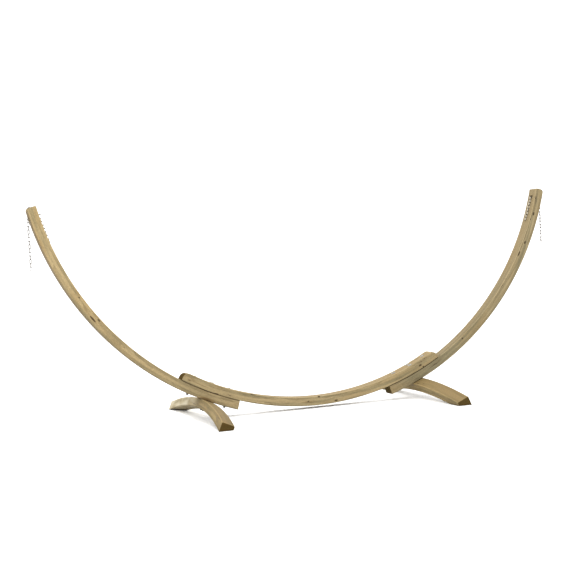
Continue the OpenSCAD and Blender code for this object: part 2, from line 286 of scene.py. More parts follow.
def solids(node):
    """The vertices of each separate solid of a CAD node, one array for each."""
    bm = bmesh.new()
    bm.from_mesh(frame["nodes"][node].data)
    bmesh.ops.remove_doubles(bm, verts=bm.verts, dist=1e-6)
    found, seen = [], set()
    for start in bm.verts:
        if start in seen:
            continue
        seen.add(start)
        solid, waiting = [], [start]
        while waiting:
            vert = waiting.pop()
            solid.append(vert.co[:])
            for near in (e.other_vert(vert) for e in vert.link_edges):
                if near not in seen:
                    seen.add(near)
                    waiting.append(near)
        found.append(np.array(solid))
    bm.free()
    return found


def main_axes(points):
    """Unit axes of a solid, from its longest to its shortest."""
    return [Vector(axis) for axis in np.linalg.eigh(np.cov((points - points.mean(0)).T))[1].T[::-1]]


def middle_of(points):
    return Vector((points.min(0) + points.max(0)) / 2)


def fastener_frame(points, long_part):
    """Matrix and length of a fastener: its Z runs along its axis and upwards, from its lower end."""
    axes = main_axes(points)
    up = axes[0] if long_part else axes[2]
    up = up if up.z > 0 else -up
    side = (Vector((0, 1, 0)) - up * up.y).normalized()
    turn = Matrix((side.cross(up), side, up)).transposed()
    local = points @ np.array(turn)
    middle = (local.min(0) + local.max(0)) / 2
    place = turn @ Vector((middle[0], middle[1], local[:, 2].min()))
    return Matrix.Translation(place) @ turn.to_4x4(), float(np.ptp(local[:, 2]))


def in_own_frame(points, place):
    return (points - np.array(place.translation)) @ np.array(place.to_3x3())


def bolt_radius(points, place):
    """Radius of a bolt's shank: how far its lower end's edge stands from its axis."""
    local = in_own_frame(points, place)
    low = local[local[:, 2] < local[:, 2].min() + 2.5 * MILLIMETRE]
    return float(np.hypot(low[:, 0], low[:, 1]).max())


def bore_radius(points, place):
    """Radius of the hole through a washer or a nut."""
    local = in_own_frame(points, place)
    return float(np.hypot(local[:, 0], local[:, 1]).min())


def width_of(points, place):
    """Width of a washer, or of a nut over its flats."""
    return float(np.ptp(in_own_frame(points, place)[:, 1]))


# ---- modelling ----


def everything(bm):
    return bm.verts[:] + bm.edges[:] + bm.faces[:]


def lathe(profile, steps=48, closed=False):
    """Turns a profile of (radius, height) points about Z."""
    bm = bmesh.new()
    verts = [bm.verts.new((radius, 0, height)) for radius, height in profile]
    ends = verts[1:] + verts[:1] if closed else verts[1:]
    edges = [bm.edges.new(pair) for pair in zip(verts, ends)]
    bmesh.ops.spin(
        bm, geom=verts + edges, axis=(0, 0, 1), cent=(0, 0, 0), angle=math.tau, steps=steps,
        use_merge=True,
    )
    bmesh.ops.remove_doubles(bm, verts=bm.verts, dist=1e-7)
    bmesh.ops.recalc_face_normals(bm, faces=bm.faces)
    return bm


def rod(radius, low, high, steps):
    """A plain round bar along Z, for cutting."""
    return lathe([(0, low), (radius, low), (radius, high), (0, high)], steps)


def hexagon(across_flats, low, high):
    """A six-sided bar along Z, with a corner on X."""
    bm = bmesh.new()
    corner = across_flats / math.sqrt(3)
    bmesh.ops.create_cone(
        bm, cap_ends=True, segments=6, radius1=corner, radius2=corner, depth=high - low,
        matrix=Matrix.Translation((0, 0, (low + high) / 2)) @ Matrix.Rotation(math.radians(30), 4, "Z"),
    )
    bmesh.ops.recalc_face_normals(bm, faces=bm.faces)
    return bm


def gather(shapes):
    """One bmesh of several, each given as (bmesh, matrix)."""
    whole = bmesh.new()
    for shape, matrix in shapes:
        mesh = bpy.data.meshes.new("part")
        shape.to_mesh(mesh)
        mesh.transform(matrix)
        whole.from_mesh(mesh)
        bpy.data.meshes.remove(mesh)
    return whole


def cut(bm, tool, operation="DIFFERENCE"):
    """Cuts one shape with another and frees both."""
    objects = []
    for name, shape in (("stock", bm), ("tool", tool)):
        mesh = bpy.data.meshes.new(name)
        shape.to_mesh(mesh)
        shape.free()
        objects.append(bpy.data.objects.new(name, mesh))
        bpy.context.scene.collection.objects.link(objects[-1])
    stock, cutter = objects
    modifier = stock.modifiers.new("Cut", "BOOLEAN")
    modifier.operation, modifier.object, modifier.solver = operation, cutter, "EXACT"
    bpy.context.view_layer.update()
    result = bmesh.new()
    result.from_mesh(stock.evaluated_get(bpy.context.evaluated_depsgraph_get()).data)
    for made in objects:
        mesh = made.data
        bpy.data.objects.remove(made)
        bpy.data.meshes.remove(mesh)
    bmesh.ops.remove_doubles(result, verts=result.verts, dist=2e-6)
    return result


def sharpen(bm):
    """Smooth shading, with sharp edges left between faces that meet at an angle."""
    for face in bm.faces:
        face.smooth = True
    for edge in bm.edges:
        edge.smooth = edge.is_manifold and edge.calc_face_angle(math.pi) < SHARP_ANGLE


def make_piece(name, bm, materials, nodes):
    """Puts a finished shape in the scene, riding on its nodes' body and standing for them."""
    sharpen(bm)
    mesh = bpy.data.meshes.new(name)
    bm.to_mesh(mesh)
    bm.free()
    piece = bpy.data.objects.new(name, mesh)
    bpy.context.scene.collection.objects.link(piece)
    for material in materials:
        mesh.materials.append(material)
    even = piece.modifiers.new("Even shading", "WEIGHTED_NORMAL")
    even.keep_sharp = True
    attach(piece, BODY_OF[nodes[0]])
    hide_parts(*nodes)


# ---- timber ----


def rounded_section(depth, width, radius):
    """A face at X = 0 with rounded corners, `depth` along -Z from Z = 0 and `width` along Y."""
    bm = bmesh.new()
    bmesh.ops.create_grid(bm, x_segments=1, y_segments=1, size=0.5)
    bmesh.ops.transform(
        bm, verts=bm.verts,
        matrix=Matrix(((0, 0, 1, 0), (0, width, 0, 0), (-depth, 0, 0, -depth / 2), (0, 0, 0, 1))),
    )
    bmesh.ops.bevel(
        bm, geom=bm.verts[:], affect="VERTICES", offset=radius, offset_type="OFFSET",
        segments=5, profile=0.5, material=-1,
    )
    return bm


def round_over(distance, radius):
    """How far a face falls away at a distance from an edge that is rounded."""
    if distance >= radius:
        return 0.0
    return radius - math.sqrt(radius**2 - (radius - distance) ** 2)


def end_distances(radii, steps=6):
    """Distances from a sawn end at which rings are needed to round its edges."""
    wanted = sorted(
        {radius * (1 - math.sin(math.pi / 2 * i / steps)) for radius in radii for i in range(steps + 1)}
    )
    kept = [0.0]
    for distance in wanted:
        if distance - kept[-1] > 0.15 * MILLIMETRE:
            kept.append(distance)
    return kept


def ring_angles(low, high, radius, low_radii, high_radii, step=0.034):
    """Angles of the rings of a curved beam, close together where its ends are rounded."""
    start = [low + d / radius for d in end_distances(low_radii)]
    end = [high - d / radius for d in end_distances(high_radii)][::-1]
    count = math.ceil((end[0] - start[-1]) * radius / step)
    middle = [start[-1] + (end[0] - start[-1]) * i / count for i in range(1, count)]
    return start + middle + end


def beam_measures(co):
    """Angle along the arch, offset across it, and radius of a point of a curved beam."""
    out = co - arch_centre()
    return math.atan2(out.x, -out.z), co.y, math.hypot(out.x, out.z)


def curved_beam(inner, depth, low, high, low_corners, high_corners):
    """A curved beam: its corners at each end are (inner radius, outer radius)."""
    sizes = timber()
    edge = sizes.end_edge
    bm = rounded_section(depth, sizes.beam_width, sizes.arris)
    turns = ring_angles(low, high, inner + depth / 2, (edge, *low_corners), (edge, *high_corners))
    bmesh.ops.transform(bm, verts=bm.verts, matrix=leaning(low) @ Matrix.Translation((0, 0, -inner)))
    last = everything(bm)
    for here, there in zip(turns, turns[1:]):
        last = bmesh.ops.spin(
            bm, geom=last, cent=arch_centre(), axis=(0, 1, 0), angle=here - there, steps=1
        )["geom_last"]
    for vert in bm.verts:
        at, across, radius = beam_measures(vert.co)
        near_inner = radius < inner + depth / 2
        inward, side_pull = 0.0, 0.0
        for turned, corners in ((at - low, low_corners), (high - at, high_corners)):
            distance = max(0.0, turned * radius)
            soft = round_over(distance, edge)
            inward += round_over(distance, corners[0 if near_inner else 1]) + soft
            side_pull += soft
        lifted = radius + (inward if near_inner else -inward)
        pulled = across - math.copysign(side_pull, across)
        vert.co = leaning(at) @ Vector((0, pulled, -lifted))
    bmesh.ops.recalc_face_normals(bm, faces=bm.faces)
    return bm


def seat_tools(nodes, washer_nodes):
    """Tools for the bolt holes and the washers' flat seats, each with its place.

    Washers are given as (node, whether they lie on the upper side).
    """
    sizes = timber()
    tools = []
    for node in nodes:
        for points in solids(node):
            place, long = fastener_frame(points, True)
            radius = bolt_radius(points, place)
            tools.append((rod(radius + sizes.hole_play, -TOOL_REACH, long + TOOL_REACH, 24), place))
    for node, upper in washer_nodes:
        for points in solids(node):
            place, thick = fastener_frame(points, False)
            radius = width_of(points, place) / 2 + sizes.seat_play
            low, high = (0.0, thick + TOOL_REACH) if upper else (-TOOL_REACH, thick)
            tools.append((rod(radius, low, high, 64), place))
    return tools


def cut_all(bm, tools):
    """Cuts tools out of a shape one by one, since they may overlap. Each comes with its place."""
    for tool, place in tools:
        bmesh.ops.transform(tool, matrix=place, verts=tool.verts)
        bm = cut(bm, tool)
    return bm


def mark_timber(bm, measure, half_width, depth, arris, along_axis, in_joint):
    """Stores where each point lies in the timber, and gives the sawn ends the second material.

    The arris value is 1 on a free long edge and -1 on one that lies against another beam.
    """
    grain = bm.verts.layers.float_vector.new("grain")
    edge = bm.verts.layers.float.new("arris")
    for vert in bm.verts:
        along, across, deep = measure(vert.co)
        vert[grain] = (along, across, deep)
        corner = math.hypot(half_width - abs(across), min(deep, depth - deep))
        vert[edge] = min(1.0, max(0.0, (arris - corner) / (0.55 * arris)))
        if in_joint(vert.co, deep):
            vert[edge] *= -1
    for face in bm.faces:
        if abs(face.normal.dot(along_axis(face.calc_center_median()))) > SAWN_FACING:
            face.material_index = 1


def beam_marks(bm, inner, depth):
    sizes = timber()

    def measure(co):
        at, across, radius = beam_measures(co)
        return at * sizes.arch_radius, across, radius - inner

    def along_axis(co):
        at = beam_measures(co)[0]
        return Vector((math.cos(at), 0, math.sin(at)))

    def in_joint(co, deep):
        against = deep < depth / 2 if inner > sizes.arch_radius - depth / 2 else deep > depth / 2
        return against and sizes.arm_low < abs(beam_measures(co)[0]) < sizes.centre_end

    mark_timber(bm, measure, sizes.beam_width / 2, depth, sizes.arris, along_axis, in_joint)


def arm_shape(side):
    """One arm, with its bolt holes, the chain's hole and the pin's hole."""
    sizes = timber()
    low_corners = (sizes.end_edge, sizes.end_edge)
    bm = curved_beam(
        sizes.arch_radius, sizes.arm_depth, sizes.arm_low, sizes.arm_top,
        low_corners, (sizes.arm_brow, sizes.arm_nose),
    )
    if side == "left":
        bmesh.ops.scale(bm, vec=(-1, 1, 1), verts=bm.verts)
        bmesh.ops.recalc_face_normals(bm, faces=bm.faces)
    tools = seat_tools(
        (f"{side}_lap_bolts", f"{side}_foot_bolts", f"{side}_chain_pin"),
        ((f"{side}_lap_nut_washers", False), (f"{side}_pin_washer", True)),
    )
    tools.append((hole_tool(), chain_hole_frame(side)))
    bm = cut_all(bm, tools)
    beam_marks(bm, sizes.arch_radius, sizes.arm_depth)
    return bm


def chain_hole_frame(side):
    """Z runs down the chain's hole from the inner face of an arm; the origin is on that face."""
    sizes = timber()
    at, _, radius = beam_measures(middle_of(np.concatenate(solids(f"{side}_through_links"))))
    half_link = chain().link_width / 2 + chain().wire
    drop = sizes.chain_hole / 2 - half_link - chain().wire / 2 - REST_GAP
    at += math.copysign(drop / radius, at)
    return leaning(at) @ Matrix.Translation((0, 0, -sizes.arch_radius)) @ Matrix.Rotation(math.pi, 4, "X")


def hole_tool():
    """A round cutter with a flare at both mouths of the chain's hole."""
    sizes = timber()
    radius, flare, deep = sizes.chain_hole / 2, sizes.hole_flare, sizes.arm_depth
    beyond = TOOL_REACH / 2
    return lathe(
        [
            (0, -beyond), (radius + flare + beyond, -beyond), (radius, flare),
            (radius, deep - flare), (radius + flare + beyond, deep + beyond), (0, deep + beyond),
        ],
        64,
    )


def centre_shape():
    """The centre beam, with its bolt holes and the seats under the washers."""
    sizes = timber()
    inner = sizes.arch_radius - sizes.centre_depth
    corners = (sizes.centre_nose, sizes.end_edge)
    bm = curved_beam(inner, sizes.centre_depth, -sizes.centre_end, sizes.centre_end, corners, corners)
    for side in SIDES:
        bm = cut_all(
            bm,
            seat_tools(
                (f"{side}_lap_bolts", f"{side}_foot_bolts"),
                ((f"{side}_lap_head_washers", True), (f"{side}_foot_head_washers", True)),
            ),
        )
    beam_marks(bm, inner, sizes.centre_depth)
    return bm


def foot_shape(side):
    """One foot: an arch across the stand that leans with the lap and is cut level below."""
    sizes = timber()
    at = (sizes.arm_low + sizes.centre_end) / 2 * (1 if side == "right" else -1)
    lean = leaning(at)
    bearing = sizes.arch_radius + sizes.arm_depth
    crown = -bearing + sizes.housing
    arch = Vector((0, 0, crown - sizes.foot_radius))
    half = sizes.foot_length / 2
    reach = math.asin(half / (sizes.foot_radius - sizes.foot_depth)) + FOOT_SPARE
    bm = rounded_section(sizes.foot_depth, sizes.foot_width, sizes.arris)
    bmesh.ops.rotate(bm, verts=bm.verts, cent=(0, 0, 0), matrix=Matrix.Rotation(math.pi / 2, 3, "Z"))
    bmesh.ops.translate(bm, verts=bm.verts, vec=(0, 0, crown))
    bmesh.ops.rotate(bm, verts=bm.verts, cent=arch, matrix=Matrix.Rotation(reach, 3, "X"))
    bmesh.ops.spin(
        bm, geom=everything(bm), cent=arch, axis=(1, 0, 0), angle=-2 * reach, steps=48
    )
    bmesh.ops.transform(bm, verts=bm.verts, matrix=lean)
    for place, out in (
        ((0, half, 0), (0, 1, 0)), ((0, -half, 0), (0, -1, 0)), ((0, 0, 0), (0, 0, -1)),
    ):
        made = bmesh.ops.bisect_plane(
            bm, geom=everything(bm), plane_co=place, plane_no=out, clear_outer=True
        )
        rim = [e for e in made["geom_cut"] if isinstance(e, bmesh.types.BMEdge)]
        bmesh.ops.holes_fill(bm, edges=rim, sides=0)
    bmesh.ops.remove_doubles(bm, verts=bm.verts, dist=5e-5)
    bmesh.ops.recalc_face_normals(bm, faces=bm.faces)
    ends = [
        f for f in bm.faces
        if abs(f.normal.y) > 0.99 and abs(abs(f.calc_center_median().y) - half) < 0.1 * MILLIMETRE
    ]
    bmesh.ops.bevel(
        bm, geom=list({e for f in ends for e in f.edges}), affect="EDGES", offset=sizes.end_edge,
        offset_type="OFFSET", segments=3, profile=0.5, material=-1, clamp_overlap=True,
    )
    housing = rod(bearing, -sizes.beam_width / 2, sizes.beam_width / 2, 720)
    tools = [(housing, Matrix.Translation(arch_centre()) @ Matrix.Rotation(math.pi / 2, 4, "X"))]
    tools += seat_tools((f"{side}_foot_bolts",), ((f"{side}_foot_nut_washers", False),))
    bm = cut_all(bm, tools)
    unlean = lean.inverted()

    def measure(co):
        local = unlean @ co - arch
        along = sizes.foot_radius * math.atan2(local.y, local.z)
        return along, local.x, sizes.foot_radius - math.hypot(local.y, local.z)

    def along_axis(co):
        return Vector((0, 1, 0))

    def in_joint(co, deep):
        return False

    mark_timber(bm, measure, sizes.foot_width / 2, sizes.foot_depth, sizes.arris, along_axis, in_joint)
    return bm


# ---- materials ----


class Shader:
    """Adds nodes to a material and links them."""

    def __init__(self, name):
        self.material = bpy.data.materials.new(name)
        self.material.use_nodes = True
        self.tree = self.material.node_tree
        self.tree.nodes.clear()
        self.surface = self.node("ShaderNodeBsdfPrincipled")
        output = self.node("ShaderNodeOutputMaterial")
        self.tree.links.new(self.surface.outputs[0], output.inputs["Surface"])

    def node(self, kind, **values):
        made = self.tree.nodes.new(kind)
        for name, value in values.items():
            setattr(made, name, value)
        return made

    def feed(self, socket, value):
        if isinstance(value, bpy.types.NodeSocket):
            self.tree.links.new(value, socket)
        elif hasattr(value, "__len__") and len(value) == 3 and socket.type == "RGBA":
            socket.default_value = (*value, 1.0)
        else:
            socket.default_value = value

    def math(self, operation, *values, clamp=False):
        made = self.node("ShaderNodeMath", operation=operation, use_clamp=clamp)
        for socket, value in zip(made.inputs, values):
            self.feed(socket, value)
        return made.outputs[0]

    def times(self, first, second):
        return self.math("MULTIPLY", first, second)

    def plus(self, first, second):
        return self.math("ADD", first, second)

    def minus(self, first, second):
        return self.math("SUBTRACT", first, second)

    def vector(self, operation, *values):
        made = self.node("ShaderNodeVectorMath", operation=operation)
        for socket, value in zip(made.inputs, values):
            self.feed(socket, value)
        return made.outputs["Value" if operation == "LENGTH" else "Vector"]

    def split(self, value):
        made = self.node("ShaderNodeSeparateXYZ")
        self.feed(made.inputs[0], value)
        return made.outputs[0], made.outputs[1], made.outputs[2]

    def join(self, x, y, z):
        made = self.node("ShaderNodeCombineXYZ")
        for socket, value in zip(made.inputs, (x, y, z)):
            self.feed(socket, value)
        return made.outputs[0]

    def stretch(self, value, scale, location=(0, 0, 0)):
        made = self.node("ShaderNodeMapping")
        self.feed(made.inputs["Vector"], value)
        made.inputs["Scale"].default_value = scale
        made.inputs["Location"].default_value = location
        return made.outputs[0]

    def noise(self, place, scale, detail, roughness=0.5):
        made = self.node("ShaderNodeTexNoise")
        self.feed(made.inputs["Vector"], place)
        made.inputs["Scale"].default_value = scale
        made.inputs["Detail"].default_value = detail
        made.inputs["Roughness"].default_value = roughness
        return made.outputs["Fac"]

    def streaks(self, place, per_metre, detail, roughness=0.5, location=(0, 0, 0)):
        """Noise that is drawn out, with its own spacing along each axis."""
        return self.noise(self.stretch(place, per_metre, location), 1.0, detail, roughness)

    def cells(self, place, scale, randomness=1.0):
        """Distance to the nearest of some scattered points, and that point's own random colour."""
        made = self.node("ShaderNodeTexVoronoi")
        self.feed(made.inputs["Vector"], place)
        made.inputs["Scale"].default_value = scale
        made.inputs["Randomness"].default_value = randomness
        return made.outputs["Distance"], made.outputs["Color"]

    def random(self, value):
        made = self.node("ShaderNodeTexWhiteNoise", noise_dimensions="1D")
        self.feed(made.inputs["W"], value)
        return made.outputs["Color"]

    def ease(self, value, low, high, to_low=0.0, to_high=1.0):
        """Maps a range smoothly on to another and clamps it there."""
        made = self.node("ShaderNodeMapRange", interpolation_type="SMOOTHSTEP")
        for socket, number in zip(made.inputs, (value, low, high, to_low, to_high)):
            self.feed(socket, number)
        return made.outputs[0]

    def blend(self, share, first, second, kind="MIX"):
        made = self.node("ShaderNodeMix", data_type="RGBA", blend_type=kind)
        self.feed(made.inputs["Factor"], share)
        self.feed(made.inputs[6], first)
        self.feed(made.inputs[7], second)
        return made.outputs[2]

    def tint(self, base, colour):
        return self.blend(1.0, base, colour, "MULTIPLY")

    def shade(self, base, light):
        """Multiplies a colour by one number."""
        return self.tint(base, self.join(light, light, light))

    def attribute(self, name):
        return self.node("ShaderNodeAttribute", attribute_name=name)

    def bump(self, height, distance, strength):
        made = self.node("ShaderNodeBump")
        self.feed(made.inputs["Height"], height)
        made.inputs["Distance"].default_value = distance
        made.inputs["Strength"].default_value = strength
        self.feed(self.surface.inputs["Normal"], made.outputs[0])


def chosen_knots(s, place, knots):
    """Nearness to knots at given places: 0 outside them and 1 in their middles."""
    total = 0.0
    for along, across, depth, long, high, strength in knots:
        offset = s.vector("SUBTRACT", place, (along, across, depth))
        scaled = s.vector("MULTIPLY", offset, (1 / long, 1 / KNOT_BREADTH, 1 / high))
        near = s.math("SUBTRACT", 1.0, s.vector("LENGTH", scaled), clamp=True)
        total = s.math("MAXIMUM", total, s.times(near, strength))
    return total


def timber_material(name, seed, tone, moss, knots=(), sawn=False, bleach=None, sunned=None):
    """Glued softwood with growth rings, knots, cracks and preservative. `seed` moves its pattern."""
    c = timber()
    s = Shader(name)
    s.surface.inputs["Specular IOR Level"].default_value = 0.0 if sawn else 0.20
    here = s.attribute("grain").outputs["Vector"]
    true_along, _, true_depth = s.split(here)
    shifted = s.stretch(here, (1, 1, 1), (seed * 3.17, seed * 0.73, 0))
    along, across, depth = s.split(shifted)
    layer = s.math("DIVIDE", depth, c.layer)
    chance = s.split(s.random(s.plus(s.math("FLOOR", layer), seed * 7.0)))
    board = s.join(s.plus(along, s.times(chance[0], 9.0)), across, depth)

    # knots, and the grain that flows round them
    cell_distance, cell_colour = s.cells(s.stretch(board, KNOT_CELLS), 1.0, 0.9)
    lucky = s.ease(s.split(cell_colour)[0], 0.72, 0.74)
    scattered = s.times(s.ease(cell_distance, 0.13, 0.03), lucky)
    picked = chosen_knots(s, here, knots)
    knot = s.math("MAXIMUM", scattered, s.ease(picked, 0.0, 0.55))
    round_cells = s.times(s.ease(cell_distance, 0.34, 0.06), lucky)
    halo = s.math("MAXIMUM", round_cells, s.ease(picked, 0.0, 0.9))

    # growth rings about a pith that wanders beside each board
    drift = s.streaks(board, PITH_DRIFT, 2.0)
    ripple = s.streaks(board, RING_RIPPLE, 3.0, 0.55)
    beside = s.plus(s.math("MULTIPLY_ADD", chance[1], 0.10, -0.05), s.times(drift, 0.030))
    below = s.plus(s.math("MULTIPLY_ADD", chance[2], 0.05, 0.020), s.times(drift, 0.022))
    x = s.plus(across, beside)
    z = s.plus(depth, below)
    out = s.math("SQRT", s.plus(s.times(x, x), s.times(z, z)))
    out = s.plus(out, s.times(ripple, 0.0036))
    out = s.plus(out, s.times(halo, 0.010))
    phase = s.math("FRACT", s.math("DIVIDE", out, c.ring_gap))
    late = s.times(s.ease(phase, 0.25, 0.86), s.ease(phase, 1.0, 0.92))
    late = s.times(late, s.ease(s.streaks(board, RING_FADE, 2.0), 0.25, 0.70, 0.35, 1.0))

    # fibres, speckle and drying cracks
    fibre = s.streaks(shifted, FIBRES, 3.0, 0.6)
    speckle = s.streaks(shifted, SPECKLES, 3.0, 0.65)
    off_line = s.math("ABSOLUTE", s.minus(s.streaks(board, CRACKS, 2.0, 0.55), 0.5))
    cracked = s.ease(s.streaks(board, CRACKED_PARTS, 1.0), 0.57, 0.66)
    crack = s.times(s.ease(off_line, 0.0075, 0.002), cracked)

    # colour of the grain
    base = s.blend(s.times(late, 0.80), c.pale, c.deep)
    warm = s.ease(s.streaks(shifted, WARM_PARTS, 3.0, 0.6), 0.45, 0.70, 0.0, 0.55)
    base = s.blend(warm, base, c.ochre)
    green = s.ease(s.streaks(shifted, MOSS_STREAKS, 4.0, 0.62, MOSS_START), 0.42, 0.66, 0.0, moss)
    base = s.blend(green, base, c.moss)
    base = s.shade(base, s.ease(fibre, 0.25, 0.75, 0.86, 1.12))
    base = s.shade(base, s.ease(speckle, 0.30, 0.72, 0.82, 1.10))
    base = s.shade(base, s.math("MULTIPLY_ADD", chance[0], 0.14, 0.93))
    off_middle = s.math("ABSOLUTE", s.minus(s.math("FRACT", layer), 0.5))
    base = s.blend(s.times(s.ease(off_middle, 0.484, 0.497), 0.42), base, c.glue)

    # wear with a painted edge highlight, weather, knots and cracks
    arris = s.attribute("arris").outputs["Fac"]
    # paler long edges: wear, and a painted highlight where the rounded edges catch the light
    patchy = s.ease(s.streaks(shifted, WEAR_AND_HIGHLIGHT_PARTS, 3.0), 0.30, 0.62)
    base = s.blend(s.times(s.times(s.math("MAXIMUM", arris, 0.0), patchy), 0.20), base, c.worn)
    if bleach:
        patchy = s.ease(s.streaks(shifted, BLEACHED_PARTS, 3.0), 0.20, 0.62)
        base = s.blend(s.times(s.times(s.ease(true_along, *bleach), patchy), 0.80), base, c.bleached)
    base = s.blend(halo, base, s.tint(base, KNOT_HALO))
    base = s.blend(s.ease(knot, 0.05, 0.60), base, c.knot)
    base = s.blend(crack, base, c.crack)

    # dirt in the joints, and painted shade in the hollows
    patchy = s.ease(s.streaks(shifted, DIRTY_PARTS, 3.0), 0.30, 0.62, 0.42, 0.95)
    base = s.blend(s.times(s.ease(s.times(arris, -1.0), 0.35, 0.95), patchy), base, c.darkening)
    # painted shade: ambient occlusion darkens hollows and the gaps between parts with the joint dirt colour
    hollow = s.node("ShaderNodeAmbientOcclusion", samples=8)
    hollow.inputs["Distance"].default_value = SHADE_REACH
    base = s.blend(s.ease(hollow.outputs["AO"], 0.66, 0.24, 0.0, 0.90), base, c.darkening)

    if sawn:
        end = s.blend(s.times(late, 0.75), c.sawn, c.sawn_late)
        end = s.blend(s.ease(s.streaks(shifted, PORES, 2.0), 0.45, 0.70, 0.0, 0.5), end, c.pore)
        base = s.blend(0.88, base, end)
    # painted light: within a few millimetres of the top face the colour is made paler, as if lit from above
    base = s.blend(s.ease(true_depth, 0.0045, 0.0005), base, s.tint(base, PAINTED_TOP_LIGHT))
    # painted shade: the last few millimetres towards the underside are made darker, as if in shade
    underside_shade = s.ease(true_depth, 0.92 * c.arm_depth, 0.995 * c.arm_depth, 0.0, 0.85)
    base = s.blend(underside_shade, base, s.tint(base, PAINTED_UNDERSIDE_SHADE))
    # the colour is darker low on the arm and paler towards its top
    if sunned:
        base = s.shade(base, s.ease(s.math("ABSOLUTE", true_along), *sunned, 0.84, 1.0))
    s.feed(s.surface.inputs["Base Color"], s.tint(base, tone))

    # surface
    rough = s.plus(s.ease(fibre, 0.2, 0.8, 0.66, 0.84), s.times(green, 0.10))
    s.feed(s.surface.inputs["Roughness"], s.minus(rough, s.times(late, 0.10)))
    height = s.plus(s.math("MULTIPLY_ADD", late, 0.30, s.times(fibre, 0.32)), s.times(speckle, 0.16))
    height = s.plus(s.minus(height, crack), s.times(knot, 0.30))
    s.bump(height, 0.0011 if sawn else 0.0007, 0.85)
    return s.material


def timber_pair(name, seed, tone, moss, **looks):
    """The materials of a timber's faces and of its sawn ends, with the knots that are given for it."""
    half, radius = timber().beam_width / 2, timber().arch_radius
    knots = [(math.radians(at) * radius, -half, *rest) for at, *rest in KNOTS.get(name, ())]
    return [
        timber_material(f"{name}_timber", seed, tone, moss, knots, **looks),
        timber_material(f"{name}_sawn_end", seed, tone, moss, knots, sawn=True, **looks),
    ]


def zinc_material(name, bright, dark, roughness, darkening, rubbed=False):
    """Plated steel with spangle, tarnish and fine scratches, and dark wear with painted contact shade where
    links touch.
    """
    s = Shader(name)
    place = s.node("ShaderNodeTexCoord").outputs["Object"]
    spangle, cell = s.cells(place, 620.0)
    cloud = s.noise(place, 75.0, 4.0, 0.62)
    scratch = s.streaks(place, (900.0, 130.0, 2600.0), 2.0)
    tarnish = s.ease(s.math("MULTIPLY_ADD", s.split(cell)[0], 0.16, cloud), 0.50, 0.74, 0.0, darkening)
    # links that rub get darker at their bent ends: wear, and painted contact shade where links touch
    if rubbed:
        tarnish = s.math("MAXIMUM", tarnish, s.attribute("rub").outputs["Fac"])
    s.feed(s.surface.inputs["Base Color"], s.blend(tarnish, bright, dark))
    s.surface.inputs["Metallic"].default_value = 0.92
    rough = s.plus(s.math("MULTIPLY_ADD", tarnish, 0.24, roughness), s.times(scratch, 0.10))
    s.feed(s.surface.inputs["Roughness"], rough)
    s.bump(s.plus(scratch, s.times(spangle, 0.5)), 0.06 * MILLIMETRE, 0.6)
    return s.material


# ---- fasteners ----


def bolt_shape(points, place, long):
    """A socket-head bolt whose thread end is at Z = 0, made to the size of a CAD solid."""
    f = fasteners()
    radius = bolt_radius(points, place)
    seat = long - f.head_height
    chamfer = f.thread_depth * 1.3
    profile = [(0, 0), (radius - chamfer, 0)]
    turns = int(f.thread_length / f.thread_pitch)
    for i in range(turns):
        low = chamfer + i * f.thread_pitch
        root = (radius - f.thread_depth, low + 0.55 * f.thread_pitch)
        profile += [(radius, low + 0.10 * f.thread_pitch), root]
    profile += [(radius, chamfer + turns * f.thread_pitch), (radius, seat), (f.head / 2, seat)]
    dome = f.head_height - f.head_rim
    sphere = ((f.head / 2) ** 2 + dome**2) / (2 * dome)
    steps = 9
    limit = math.asin(f.head / 2 / sphere)
    profile.append((f.head / 2, seat + f.head_rim * 0.8))
    for i in range(1, steps):
        turn = limit * (1 - i / steps)
        profile.append((sphere * math.sin(turn), long - sphere * (1 - math.cos(turn))))
    profile.append((0, long))
    socket = hexagon(f.socket, long - f.socket_depth, long + f.socket_depth)
    return cut(lathe(profile, 36), socket)


def washer_shape(points, place, thick):
    """A flat washer with softened edges, on Z = 0, made to the size of a CAD solid."""
    outer, inner = width_of(points, place) / 2, bore_radius(points, place)
    edge = fasteners().edge
    turn = edge * 0.3
    return lathe(
        [
            (inner + edge / 2, 0), (outer - edge, 0), (outer - turn, turn), (outer, edge),
            (outer, thick - edge), (outer - turn, thick - turn), (outer - edge, thick),
            (inner + edge, thick), (inner + turn, thick - turn), (inner, thick - edge),
            (inner, edge / 2),
        ],
        56, closed=True,
    )


def nut_shape(points, place, high):
    """A hexagon nut with both faces chamfered at its corners, made to the size of a CAD solid."""
    across_flats, bore = width_of(points, place), bore_radius(points, place)
    corner = across_flats / math.sqrt(3)
    face = across_flats / 2 * 0.96
    fall = (corner - face) * math.tan(math.radians(30))
    turned = lathe([(0, 0), (face, 0), (corner, fall), (corner, high - fall), (face, high), (0, high)])
    nut = cut(hexagon(across_flats, -high * 0.05, high * 1.05), turned, "INTERSECT")
    mouth = bore * 0.18
    beyond = high * 0.1
    wide = bore + mouth + beyond
    drill = lathe(
        [(0, -beyond), (wide, -beyond), (bore, mouth), (bore, high - mouth), (wide, high + beyond),
         (0, high + beyond)],
        36,
    )
    return cut(nut, drill)


